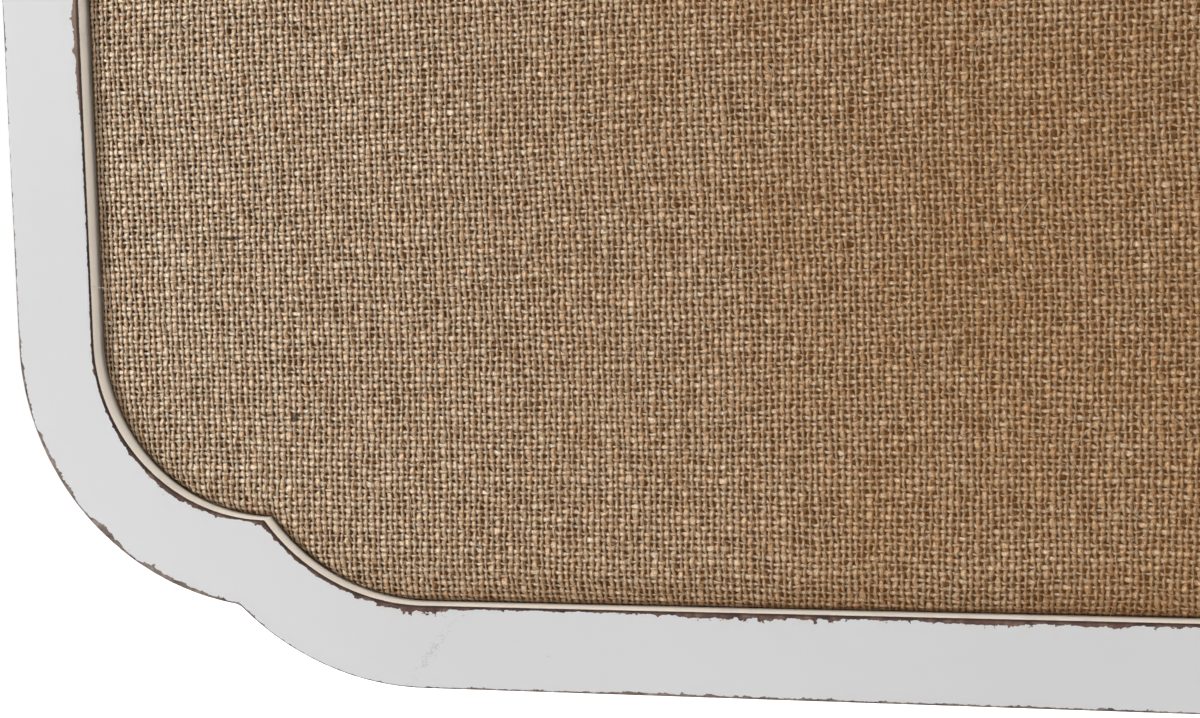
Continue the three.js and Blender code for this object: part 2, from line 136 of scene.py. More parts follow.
# Fibres that were seen: distance from the board's left side and lower end, heading in degrees, length,
# bend in radians, and depth below the frame's face at the root and at the tip
PLACED_FIBRES = [
    (37.2, 136.6, 157, 8.5, 0.25, 6.2, 1.6), (36.0, 124.6, 166, 5, -0.3, 6.8, 3.2),
    (95.6, 91.4, -42, 9, 0.35, 4.2, 3.4), (104, 93, 14, 10, 0.4, 4.2, 3.5),
    (41.5, 196, 118, 7, -0.6, 5, 2.6), (52, 96, 205, 7, 0.5, 5, 2.2),
]

# Hardware on the back, in mm
ROD_SIDES = 16
RING_CORNER = 2.4
RING_PLAY = 0.2
STRAP_THICK = 1.0
STRAP_EASE = 0.18
STRAP_CURL = (8, 290)
SCREW_HEAD = 1.8
SCREW_SHANK = 1.5
SCREW_POINT = 2.5
SCREW_SIDES = 32
BUTTON_REACH = 17
BUTTON_ROOT = 5.5
BUTTON_TIP = 4
BUTTON_THICK = 1.2
BUTTON_EASE = 0.25
FELT_EASE = 0.7
FELT_SIDES = 40
SHARP_STEEL = 40
# Half length and half width of the cross in a screw's head, at two heights
RECESS = ((-1.0, 0.75, 0.32), (2.2, 1.95, 0.62))

# Camera, worked out from the weave and from the frame being square
CAMERA_PLACE = Vector((8.6, -537.9, -595.3)) * MM
CAMERA_YAW = 11.50
CAMERA_PITCH = -4.03
CAMERA_ROLL = -1.30
FOCAL_PIXELS = 1600
IMAGE_WIDTH = 1200
SENSOR_WIDTH = 36

# Lamps: name, place and aim in metres, size in metres, power in watts
SEEN_CORNER = (-0.1, 0, -0.6)
LAMPS = [
    ("key", (-1.6, -1.0, 0.1), SEEN_CORNER, 0.4, 21.9),
    ("right", (4.2, -0.95, -0.4), SEEN_CORNER, 1.2, 62),
    ("above", (-0.1, -1.25, 3.4), SEEN_CORNER, 1.5, 84),
    ("rear", (0.9, 1.9, 0.8), (0, 0, -0.3), 1.4, 48),
]
WORLD_LIGHT = 0.12
FLOOR_REACH = 12000
FLOOR_BELOW = 160

# Where the base coat shows at the two arrises of the photographed corner, read one by one: each is the
# distance from the board's left side and lower end, how far the stretch reaches, and its width, in mm
SIGHT_WEAR = [
    (28, 232, 26, 1.5), (28, 165, 36, 0.1), (31, 100, 14, 0.3), (58, 66, 18, 1.4), (90.5, 56, 4, 2.2),
    (100, 45, 10, 0.7), (114, 35.4, 8, 0.9), (128, 30.2, 8, 1.2), (144, 29, 10, 1.9), (188, 28.4, 34, 0.4),
    (257, 28.2, 24, 1.8), (338, 28, 58, 1.3),
]
OUTER_WEAR = [
    (0, 190, 60, 0.2), (2, 113, 6, 0.8), (3.7, 101, 3, 1.2), (16.8, 68, 4, 1.1), (32, 51, 8, 3.2),
    (50, 40, 11, 1.4), (65, 32, 9, 1.1), (100, 11, 24, 0.15), (260, 0, 110, 0.7),
]

# Small marks of the photographed corner, read one by one: distance from the board's left side and lower
# end, half length, half width, all in mm, and the turn of the long way from level in degrees
SLUBS = [
    (101, 92, 2.3, 1.7, 20), (90.5, 92.5, 2.8, 0.7, 0), (101.5, 107, 0.9, 0.9, 0), (79.8, 153.7, 7, 0.8, 0),
]
SCUFFS = [
    (149.2, 13.2, 10, 1.5, 53.5), (153.7, 24.9, 0.9, 0.5, 0),
    (160.4, 25.4, 0.8, 0.5, 0), (189.8, 12.2, 1.2, 0.5, 0),
]


def smooth_noise(points, size, seed):
    """Value noise from -1 to 1 over points in mm, with features of about the given size."""
    points = np.asarray(points, float) / size
    cell = np.floor(points).astype(np.int64)
    part = points - cell
    part = part * part * (3 - 2 * part)
    total = np.zeros(len(points))
    axes = points.shape[1]
    for corner in range(2 ** axes):
        mixed = np.full(len(points), seed * 7919 + 12345, dtype=np.uint64)
        weight = np.ones(len(points))
        for axis in range(axes):
            step = (corner >> axis) & 1
            mixed = (mixed ^ (cell[:, axis] + step).astype(np.uint64)) * np.uint64(0x9E3779B97F4A7C15)
            mixed = mixed ^ (mixed >> np.uint64(29))
            weight = weight * (part[:, axis] if step else 1 - part[:, axis])
        total += weight * ((mixed >> np.uint64(40)).astype(float) / 2 ** 24)
    return 2 * total - 1


# Pieces

def new_piece(name, points, faces, materials, smooth=True, sharp=None):
    """A mesh object from points in mm."""
    mesh = bpy.data.meshes.new(name)
    mesh.from_pydata((np.asarray(points, float) * MM).tolist(), [], faces)
    for material in materials:
        mesh.materials.append(material)
    mesh.polygons.foreach_set("use_smooth", [smooth] * len(mesh.polygons))
    if sharp is not None:
        mesh.set_sharp_from_angle(angle=math.radians(sharp))
    mesh.update()
    piece = bpy.data.objects.new(name, mesh)
    bpy.context.scene.collection.objects.link(piece)
    return piece


def stand_for(piece, node, body):
    """The piece replaces a CAD node, which is hidden, and moves with its body."""
    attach(piece, body)
    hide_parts(node)
    return piece


def set_on_back(piece, place, turn):
    """Moves a piece that was made about its own origin, and turns it about Y."""
    piece.location = place
    piece.rotation_euler = (0, turn, 0)
    bpy.context.view_layer.update()


def attribute(piece, name, values):
    """A number or a vector at each point of a piece, for its material to read."""
    values = np.asarray(values, np.float32)
    kind, key = ("FLOAT_VECTOR", "vector") if values.ndim == 2 else ("FLOAT", "value")
    layer = piece.data.attributes.new(name, kind, "POINT")
    layer.data.foreach_set(key, values.ravel())


def tidy_normals(piece):
    """Turns every face outwards."""
    work = bmesh.new()
    work.from_mesh(piece.data)
    bmesh.ops.recalc_face_normals(work, faces=work.faces)
    work.to_mesh(piece.data)
    work.free()


def tube_faces(rows, width, closed=False, first=0):
    """Faces of a tube whose points are numbered ring by ring, with both ends capped unless it is closed."""
    rings = [range(first + row * width, first + (row + 1) * width) for row in range(rows)]
    faces = []
    for here, there in zip(rings, rings[1:] + rings[:1] if closed else rings[1:]):
        for k in range(width):
            m = (k + 1) % width
            faces.append((here[k], here[m], there[m], there[k]))
    return faces if closed else faces + [tuple(reversed(rings[0])), tuple(rings[-1])]


# Node graphs

class Value:
    """An output in a node graph, with plain arithmetic."""

    def __init__(self, graph, socket):
        self.graph = graph
        self.socket = socket

    def __add__(self, other):
        return self.graph.math("ADD", self, other)

    def __sub__(self, other):
        return self.graph.math("SUBTRACT", self, other)

    def __rsub__(self, other):
        return self.graph.math("SUBTRACT", other, self)

    def __mul__(self, other):
        return self.graph.math("MULTIPLY", self, other)

    def __truediv__(self, other):
        return self.graph.math("DIVIDE", self, other)


class Graph:
    """Short names for the nodes of a material or the world. Inputs take a value, a number or a colour."""

    def __init__(self, tree):
        self.tree = tree
        self.shader = tree.nodes.get("Principled BSDF")

    def give(self, socket, value):
        if isinstance(value, Value):
            self.tree.links.new(value.socket, socket)
        else:
            socket.default_value = (*value, 1) if isinstance(value, tuple) else value

    def set(self, **inputs):
        """Gives the shader's inputs, named with _ for a space."""
        for name, value in inputs.items():
            self.give(self.shader.inputs[name.replace("_", " ")], value)

    def node(self, kind, inputs, **settings):
        """A new node with its settings, and its inputs by name or by number."""
        node = self.tree.nodes.new("ShaderNode" + kind)
        for name, value in settings.items():
            setattr(node, name, value)
        for key, value in inputs.items():
            self.give(node.inputs[key], value)
        return node

    def value(self, output, kind, inputs, **settings):
        """One output of a new node."""
        return Value(self, self.node(kind, inputs, **settings).outputs[output])

    def math(self, operation, *given):
        return self.value(0, "Math", dict(enumerate(given)), operation=operation)

    def most(self, a, b):
        return self.math("MAXIMUM", a, b)

    def less(self, a, b):
        return self.math("LESS_THAN", a, b)

    def attribute(self, name, output="Fac"):
        return self.value(output, "Attribute", {}, attribute_name=name)

    def place(self):
        return self.value("Object", "TexCoord", {})

    def separate(self, vector):
        node = self.node("SeparateXYZ", {0: vector})
        return [Value(self, output) for output in node.outputs]

    def combine(self, x, y, z=0.0):
        return self.value(0, "CombineXYZ", {0: x, 1: y, 2: z})

    def noise(self, vector, scale, detail=2.0, roughness=0.5):
        inputs = {"Vector": vector, "Scale": scale, "Detail": detail, "Roughness": roughness}
        return self.value("Fac", "TexNoise", inputs)

    def random(self, value):
        return self.value("Value", "TexWhiteNoise", {"W": value}, noise_dimensions="1D")

    def range(self, value, low, high, to_low=0.0, to_high=1.0, kind="LINEAR"):
        inputs = {"Value": value, "From Min": low, "From Max": high, "To Min": to_low, "To Max": to_high}
        return self.value(0, "MapRange", inputs, interpolation_type=kind)

    def near(self, x, z, mark):
        """How far a point in mm is from a mark's middle, as a share of the mark's half length and width."""
        middle_x, middle_z, half_long, half_wide, turn = mark
        cosine, sine = math.cos(math.radians(turn)), math.sin(math.radians(turn))
        east, north = x - middle_x, z - middle_z
        along = east * (cosine / half_long) + north * (sine / half_long)
        across = north * (cosine / half_wide) + east * (-sine / half_wide)
        return self.math("SQRT", along * along + across * across)

    def mix(self, factor, a, b, kind="MIX"):
        return self.value(2, "Mix", {0: factor, 6: a, 7: b}, data_type="RGBA", blend_type=kind)

    def ramp(self, factor, *stops):
        """Colours at rising places along a value."""
        node = self.node("ValToRGB", {0: factor})
        elements = node.color_ramp.elements
        elements[0].position = stops[0][0]
        elements[1].position = stops[-1][0]
        for at, _ in stops[1:-1]:
            elements.new(at)
        for element, (_, shade) in zip(elements, stops):
            element.color = (*shade, 1)
        return Value(self, node.outputs[0])

    def bump(self, height, depth):
        """Relief of a depth in mm."""
        inputs = {"Height": height, "Distance": depth * MM, "Strength": 1.0}
        self.set(Normal=self.value(0, "Bump", inputs))

    def seen_directly(self):
        """1 for what the camera, a mirror or glass sees, and 0 for light that falls on things."""
        path = self.node("LightPath", {})
        kinds = ("Camera", "Glossy", "Transmission")
        camera, glossy, through = [Value(self, path.outputs[f"Is {kind} Ray"]) for kind in kinds]
        return self.most(self.most(camera, glossy), through)


def new_material(name):
    """A material and the graph of its nodes."""
    material = bpy.data.materials.new(name)
    material.use_nodes = True
    return material, Graph(material.node_tree)


# Materials

def paint_material(name, paint, thin):
    """White paint that is rubbed and chipped through to a brown base coat along the arrises."""
    material, g = new_material(name)
    place = g.place()
    to_sight, to_outer = g.attribute("to_sight"), g.attribute("to_outer")
    sight_wear, outer_wear = g.attribute("sight_wear"), g.attribute("outer_wear")
    fine = g.noise(place, 1400, 3, 0.6)
    chips = g.noise(place, 400, 4, 0.62)
    broad = g.noise(place, 60)
    teeth = g.most(chips - 0.57, 0) * 9.0
    ragged = (chips - 0.5) * 3.6 + teeth + (fine - 0.5) * 0.6
    fleck = g.noise(place, 620, 2, 0.6) - 0.69

    def worn_at(distance, width):
        """Shows the base coat from the arris to an uneven distance, and in flecks past it."""
        reach = width * g.range(broad, 0.3, 0.7, 0.55, 1.35)
        limit = reach + ragged * (width * 0.5 + 0.13) + 0.30
        loose = g.less(distance * 0.028, fleck * width)
        return g.most(g.less(distance, limit), loose)

    sight = worn_at(to_sight, sight_wear) * g.less(fine * -0.5, to_sight)
    outer = worn_at(to_outer, outer_wear)
    worn = g.most(sight, outer)
    tone = g.noise(place, 240, 4, 0.6)
    dark, brown, light = (0.024, 0.012, 0.010), (0.112, 0.060, 0.046), (0.250, 0.158, 0.120)
    inner_base = g.ramp(tone, (0.30, dark), (0.52, brown), (0.72, light))
    x, _, z = g.separate(place)
    from_left, from_end = x * (1 / MM) - LEFT_SIDE, z * (1 / MM) - LOWER_END
    pale = g.range(from_end, 150.0, 235.0, 0, 0.7) * g.range(from_end, 300.0, 520.0, 1, 0.3)
    inner_base = g.mix(pale, inner_base, (0.320, 0.222, 0.168))
    arris = g.range(to_sight, 0.30, 0.75, 0.75, 0)
    inner_base = g.mix(arris, inner_base, (0.018, 0.009, 0.007))
    dark, brown, light = (0.075, 0.052, 0.044), (0.205, 0.155, 0.130), (0.360, 0.300, 0.262)
    outer_base = g.ramp(tone, (0.32, dark), (0.52, brown), (0.70, light))
    base = g.mix(outer, inner_base, outer_base)
    coat = g.mix(g.range(g.noise(place, 9, 3), 0.3, 0.7), paint, thin)
    # Painted shade: the inner wall grows darker and browner towards its foot at the cloth, standing in for shade
    # and for light bounced from the cloth.
    wall_foot_shade = g.range(to_sight, -7.6, -1.5, 0.3, 0)
    coat = g.mix(wall_foot_shade, coat, (0.34, 0.26, 0.19))
    rubbed = g.range(sight_wear, 0.6, 1.6) * g.range(to_sight, 1, 7.0, 1, 0)
    rubbed = rubbed * g.range(g.noise(place, 150, 3), 0.48, 0.66, 0, 0.45)
    coat = g.mix(rubbed, coat, (0.66, 0.605, 0.52))
    for scuff in SCUFFS:
        edge = g.near(from_left, from_end, scuff) + (fine - 0.56) * -8.0
        coat = g.mix(g.range(edge, 0.3, 1.2, 0.30, 0), coat, (0.30, 0.28, 0.265))
    g.set(Base_Color=g.mix(worn, coat, base), Roughness=g.range(worn, 0, 1, 0.48, 0.8))
    g.set(Specular_IOR_Level=0.35)
    brushed = g.noise(place, 160, 3)
    g.bump(worn * -0.25 + (brushed * 0.05 + fine * (worn * 0.18)), 0.6)
    return material


def thin_coat_material():
    """The back of the frame: one thin white coat brushed along the wood, the base coat in its streaks."""
    material, g = new_material("thin_back_coat")
    along, across, _ = g.separate(g.attribute("grain_place", "Vector"))
    grain = g.noise(g.combine(along * 0.022, across * 0.8), 1, 6.0, 0.68)
    stroke = grain * 0.75 + g.noise(g.place(), 22, 3) * 0.25
    bare = g.range(stroke, 0.54, 0.66, 0, 0.85, "SMOOTHSTEP")
    base = g.ramp(grain, (0.34, (0.085, 0.048, 0.034)), (0.68, (0.235, 0.150, 0.105)))
    coat = g.mix(g.range(grain, 0.3, 0.6), (0.66, 0.645, 0.615), (0.56, 0.535, 0.495))
    g.set(Base_Color=g.mix(bare, coat, base), Roughness=g.range(bare, 0, 1, 0.55, 0.8))
    g.set(Specular_IOR_Level=0.3)
    g.bump(grain, 0.35)
    return material


def burlap_material():
    """Plain-woven jute: each yarn has its own thickness and tone. Painted shade darkens the gaps, the yarns' edges
    and sides and the cloth by the wall; painted highlights and a painted sheen brighten the crowns and the left
    part of the cloth.
    """
    material, g = new_material("burlap_weave")
    u, v, _ = g.separate(g.attribute("thread_place", "Vector"))

    def shifted(across, along, seed):
        """Where a point is across the yarns, which wander to either side."""
        slow = g.noise(g.combine(across * 0.85, along * 0.20, seed), 1, 1)
        quick = g.noise(g.combine(across * 1.3, along * 0.75, seed + 40.0), 1, 0)
        return across + ((slow - 0.5) * 0.85 + (quick - 0.5) * 0.45)

    warp_at, weft_at = shifted(u, v, 3), shifted(v, u, 17.0)
    warp, weft = g.math("FLOOR", warp_at), g.math("FLOOR", weft_at)
    warp_off, weft_off = g.math("FRACT", warp_at) - 0.5, g.math("FRACT", weft_at) - 0.5
    over = g.math("FLOORED_MODULO", warp + weft, 2) * -2 + 1

    # brown runs from 0 at the left of the cloth to 1 at its right, made uneven by a slow patch noise. Towards 0 it
    # paints a sheen: the cloth is paler and greyer, its painted glints brighter and its painted shade deeper.
    # Towards 1 the cloth is browner and flatter.
    patch = g.noise(g.combine(u, v, 77.0), 0.045, 3)
    brown = g.range(u, -140.0, 45.0, 0, 1, "SMOOTHSTEP") * g.range(patch, 0.3, 0.7, 0.8, 1.2)
    closer = g.range(brown, 0, 1, 0.02, 0)

    def yarn(number, off, along_at, along_off, sign, seed, half, thick, end_light):
        """Height, tone, fibre and painted light and shade of one set of yarns where they pass this point."""
        wave = g.math("COSINE", along_off * math.pi)
        crimp = wave * sign
        off = off + crimp * 0.085
        own = g.random(number + seed)
        swell = g.noise(g.combine(number * 5.17, along_at * 0.45, seed), 1)
        twist = off * 5.5 + along_at * 1.8
        fibre = g.noise(g.combine(twist, along_at * 1.2, number * 2.3), 1, 3, 0.7)
        wide = own * 0.04 + (half - 0.02) + closer + (swell - 0.5) * 0.20 + (fibre - 0.5) * 0.16
        ratio = off / wide
        dome = 1.0 - ratio * ratio
        round_top = g.most(dome, 0)
        gone = g.less(dome, 0) * 10.0
        height = crimp * 0.45 + round_top * thick - gone
        stretch = g.noise(g.combine(number * 3.31, along_at * 0.16, seed + 5), 1, 5, 0.72)
        uneven = (stretch - 0.5) * g.range(brown, 0, 1, 0.20, 0.32)
        tone = own * 0.08 + (uneven + 0.16)
        # Painted shade: darker towards the yarn's edges and towards the ends where it dives under the other yarns.
        light = g.range(round_top, 0, 0.55, 0.30, 1) * g.range(wave, 0, 0.5, end_light, 1)
        return height, tone, fibre, light

    warp_high, warp_tone, warp_fibre, warp_light = yarn(
        warp, warp_off, weft_at, weft_off, over, 0, 0.330, 0.64, 0.85)
    weft_high, weft_tone, weft_fibre, weft_light = yarn(
        weft, weft_off, warp_at, warp_off, over * -1.0, 900.0, 0.265, 0.44, 0.55)
    is_warp = g.math("GREATER_THAN", warp_high, weft_high)
    high = g.most(g.most(warp_high, weft_high), -0.55)

    def chosen(of_warp, of_weft):
        """The value of the yarn on top."""
        return of_weft + is_warp * (of_warp - of_weft)

    fibre = chosen(warp_fibre, weft_fibre)
    tone = chosen(warp_tone, weft_tone + 0.04) + 0.57 + (fibre - 0.5) * 1.9
    # Painted highlight: paler on the highest crowns.
    tone = tone + g.range(high, 0.35, 0.75, 0, 0.10)
    # Painted highlight and shade: each warp is paler on its left side and darker on its right, as if lit from the
    # left.
    tone = tone + is_warp * g.range(warp_off, -0.24, 0.24, 0.16, -0.16)
    dark, golden, pale = (0.470, 0.260, 0.130), (1.000, 0.605, 0.340), (1.000, 0.825, 0.610)
    jute = g.ramp(tone, (0.30, dark), (0.66, golden), (1, pale))
    # Painted sheen: paler and greyer where brown is low, browner where it is high.
    tint = g.mix(brown, (1.0, 0.975, 0.94), (0.73, 0.590, 0.435))
    tinted = g.mix(1, jute, tint, "MULTIPLY")
    # Painted highlight: a near-white glint at the left end of each weft float, fainter where brown is high.
    glint = g.range(warp_off, -0.45, 0, 1, 0) * (1.0 - is_warp)
    glint = glint * g.range(fibre, 0.35, 0.65, 0.4, 1) * g.range(brown, 0, 1, 1, 0.4)
    tinted = g.mix(glint, tinted, (1.0, 0.97, 0.90))
    # Painted shade: each yarn is darker on its right and lower side, as if lit from the upper left, and less so
    # where brown is high. The cloth within 3 mm of the wall is darker still: a painted shadow of the wall.
    light = chosen(warp_light, weft_light) * g.range(warp_off, 0, 0.40, 1, 0.50)
    light = light * g.range(weft_off, -0.40, 0, 0.8, 1)
    light = light + brown * 0.35 * (1.0 - light)
    shade = g.range(high, -0.45, 0.45, 0, 1, "SMOOTHSTEP") * light
    shade = shade * g.range(g.attribute("from_wall"), 0.2, 3, 0.35, 1, "SMOOTHSTEP")
    fuzz = g.noise(g.combine(u, v, 31.0), 1.7, 4, 0.7)
    # Painted shade: the gaps between yarns are painted dark brown, darkest where brown is low, with mid-brown fuzz
    # in them, though pale wadding lies behind the cloth.
    deep = g.mix(brown, (0.026, 0.008, 0.001), (0.126, 0.046, 0.008))
    hole = g.mix(g.range(fuzz, 0.46, 0.72), deep, (0.270, 0.135, 0.050))
    woven = g.mix(shade, hole, tinted)
    from_left, from_end = u * THREAD_PITCH[0] - LEFT_SIDE, v * THREAD_PITCH[1] - LOWER_END
    for slub in SLUBS:
        edge = g.near(from_left, from_end, slub) + (fuzz - 0.5) * 2.2
        woven = g.mix(g.range(edge, 0.5, 1, 0.8, 0), woven, (0.050, 0.022, 0.014))
    grain = g.range(g.noise(g.combine(u, v, 5), 4.5, 3, 0.7), 0.3, 0.7, 0.56, 1.52)
    g.set(Base_Color=g.mix(1, woven, g.combine(grain, grain, grain), "MULTIPLY"))
    g.set(Roughness=g.range(shade, 0.3, 0.9, 0.9, 0.29), Specular_IOR_Level=0.07)
    g.bump(high + fibre * 0.24, 2.4)
    return material


def speckled_material(name, noise, spread, dark, light, roughness, depth=None):
    """One fine noise for tone and relief: its scale, detail and roughness, and how far its tones spread."""
    material, g = new_material(name)
    speck = g.noise(g.place(), *noise)
    g.set(Base_Color=g.ramp(speck, (0.5 - spread, dark), (0.5 + spread, light)), Roughness=roughness)
    if depth:
        g.bump(speck, depth)
    return material


def board_material(name, dark, light, speck, depth):
    """Pressed fibre board: fine flecks and a slow drift of tone."""
    material, g = new_material(name)
    place = g.place()
    fleck = g.noise(place, speck, 5, 0.65)
    tone = fleck * 0.65 + g.noise(place, 7, 3) * 0.35
    g.set(Base_Color=g.ramp(tone, (0.36, dark), (0.64, light)))
    g.set(Roughness=g.range(fleck, 0.3, 0.7, 0.5, 0.72))
    g.bump(fleck, depth)
    return material


def zinc_material():
    """Zinc plate: a faint spangle in tone and gloss, with small scratches."""
    material, g = new_material("zinc_plate")
    place = g.place()
    spangle = g.noise(place, 350, 3, 0.6)
    x, y, z = g.separate(place)
    scratch = g.noise(g.combine(x * 30, y, z * 2), 160, 4, 0.7)
    dark, light = (0.36, 0.37, 0.385), (0.53, 0.54, 0.555)
    g.set(Base_Color=g.ramp(spangle, (0.35, dark), (0.65, light)), Metallic=1.0)
    g.set(Roughness=g.range(scratch, 0.3, 0.7, 0.24, 0.46))
    g.bump(scratch, 0.05)
    return material


WHITE = paint_material("white_paint", (0.695, 0.695, 0.702), (0.670, 0.670, 0.677))
# The inner wall's paint is the face's white made brighter and warmer: painted light, standing in for light falling
# on the wall and for warm light bounced from the cloth.
LIT_WALL_PAINT = paint_material("inner_wall_lit_paint", (0.97, 0.905, 0.805), (0.94, 0.87, 0.765))
THIN_COAT = thin_coat_material()
BURLAP = burlap_material()
FIBRE = speckled_material(
    "jute_fibre", (90, 2, 0.5), 0.15, (0.52, 0.39, 0.25), (0.82, 0.70, 0.53), 0.7)
WADDING = speckled_material(
    "wadding_fluff", (260, 5, 0.7), 0.2, (0.66, 0.65, 0.61), (0.86, 0.85, 0.82), 1, 1.2)
FIBREBOARD = board_material(
    "fibreboard", (0.20, 0.125, 0.066), (0.34, 0.22, 0.125), 420, 0.3)
HARDBOARD = board_material(
    "hardboard", (0.105, 0.050, 0.024), (0.200, 0.105, 0.056), 300, 0.06)
BEECH = speckled_material(
    "beech_grain", (500, 4, 0.6), 0.15, (0.42, 0.26, 0.12), (0.62, 0.44, 0.24), 0.65, 0.1)
ZINC = zinc_material()
FELT = speckled_material(
    "felt_nap", (900, 5, 0.7), 0.2, (0.020, 0.019, 0.018), (0.075, 0.070, 0.066), 1, 0.4)


# Outline of the frame's edges

def corner_arcs(edge, inset):
    """One corner's arcs as (centre, radius, from angle, to angle): stile side, round cusp, rail side."""
    side_centre = np.array([edge["margin"] + edge["side"], CORNER_HEIGHT])
    rail_centre = np.array([CORNER_WIDTH, edge["margin"] + edge["rail"]])
    side, rail = edge["side"] - inset, edge["rail"] - inset
    cusp = edge["cusp"] + inset if edge["cusp"] else 0.0
    between = rail_centre - side_centre
    distance = math.hypot(*between)
    along = ((side + cusp) ** 2 - (rail + cusp) ** 2 + distance ** 2) / (2 * distance)
    meet = math.atan2(between[1], between[0]) - math.acos(along / (side + cusp)) + 2 * math.pi
    centre = side_centre + (side + cusp) * np.array([math.cos(meet), math.sin(meet)])
    start = math.atan2(centre[1] - rail_centre[1], centre[0] - rail_centre[0]) + 2 * math.pi
    round_arc = (centre, cusp, meet - math.pi, start - math.pi)
    return (side_centre, side, math.pi, meet), round_arc, (rail_centre, rail, start, 1.5 * math.pi)


def arc_points(arc, steps):
    centre, radius, start, end = arc
    turn = np.linspace(start, end, steps + 1)
    return centre + radius * np.stack([np.cos(turn), np.sin(turn)], axis=1)


def corner_path(edge, inset, side_steps, rail_steps):
    """Points along one corner, in mm in from the board's side and end: as many with a round cusp as not."""
    side, round_arc, rail = corner_arcs(edge, inset)
    if not edge["cusp"]:
        return np.concatenate([arc_points(side, side_steps), arc_points(rail, rail_steps)[1:]])
    half = CUSP_STEPS // 2
    line = [arc_points(side, side_steps - half), arc_points(round_arc, CUSP_STEPS)[1:]]
    return np.concatenate(line + [arc_points(rail, rail_steps - half)[1:]])


def on_board(points, right, up):
    """From distances in at one corner to x and z in mm."""
    x = right * (BOARD_WIDTH / 2 - points[:, 0])
    z = BOARD_MIDDLE_Z + up * (BOARD_HEIGHT / 2 - points[:, 1])
    return np.stack([x, z], axis=1)


# Frame members

def section_rows():
    """The moulding's section as rows of (edge, inset, depth, surface). With no edge, inset is a share."""
    turns = np.linspace(0, math.pi / 2, EASE_STEPS + 1)
    ease = [(EDGE_EASE * (1 - math.cos(t)), FACE - EDGE_EASE * (1 - math.sin(t))) for t in turns]
    rows = [(OUTER, EDGE_EASE, BACK, "back")]
    for depth in np.linspace(BACK + EDGE_EASE, FACE - EDGE_EASE, SIDE_ROWS + 1)[:-1]:
        rows.append((OUTER, 0, depth, "face"))
    rows += [(OUTER, inset, depth, "face") for inset, depth in ease]
    rows += [(OUTER, inset, FACE, "face") for inset in NEAR_ARRIS]
    rows += [(None, share, FACE, "face") for share in ACROSS_FACE]
    rows += [(SIGHT, -inset, FACE, "face") for inset in reversed(NEAR_ARRIS)]
    rows += [(SIGHT, -inset, depth, "face") for inset, depth in reversed(ease)]
    for depth in np.linspace(FACE - EDGE_EASE, SHOULDER, WALL_ROWS + 1)[1:]:
        rows.append((SIGHT, 0, depth, "wall"))
    rows.append((SIGHT, -REBATE_WIDTH, SHOULDER, "back"))
    rows.append((SIGHT, -REBATE_WIDTH, BACK, "back"))
    return rows


def wear_width(points, zones, seed):
    """How far the base coat shows, in mm: uneven all round, and as listed where the corner was seen."""
    from_left, from_end = (points - [LEFT_SIDE, LOWER_END]).T
    common = WEAR_MEAN + 0.75 * smooth_noise(points, 70, seed) + 0.5 * smooth_noise(points, 18, seed + 1)
    common = np.clip(common, *WEAR_LIMITS)
    total, by_hand = 0, 0
    for x, z, reach, width in zones:
        weight = np.exp(-((from_left - x) ** 2 + (from_end - z) ** 2) / reach ** 2)
        total = total + weight
        by_hand = by_hand + weight * width
    return by_hand / np.maximum(total, 1) + common * np.maximum(1 - total, 0)


def apart(line, other):
    """How far the points of two lines are from each other, in mm."""
    return np.hypot(*(line - other).T)


def arris_distances(line, depth, surface, sight_line, outer_line):
    """How far a row of points is from the sight arris and the outer one, below 0 down the inner wall."""
    below = FACE - EDGE_EASE - depth
    level = np.ones(len(line))
    if surface == "back":
        return -FAR * level, FAR * level
    if surface == "wall":
        return -max(below, 0) * level, FAR * level
    return apart(line, sight_line), apart(line, outer_line) if below < 0.01 else below * level


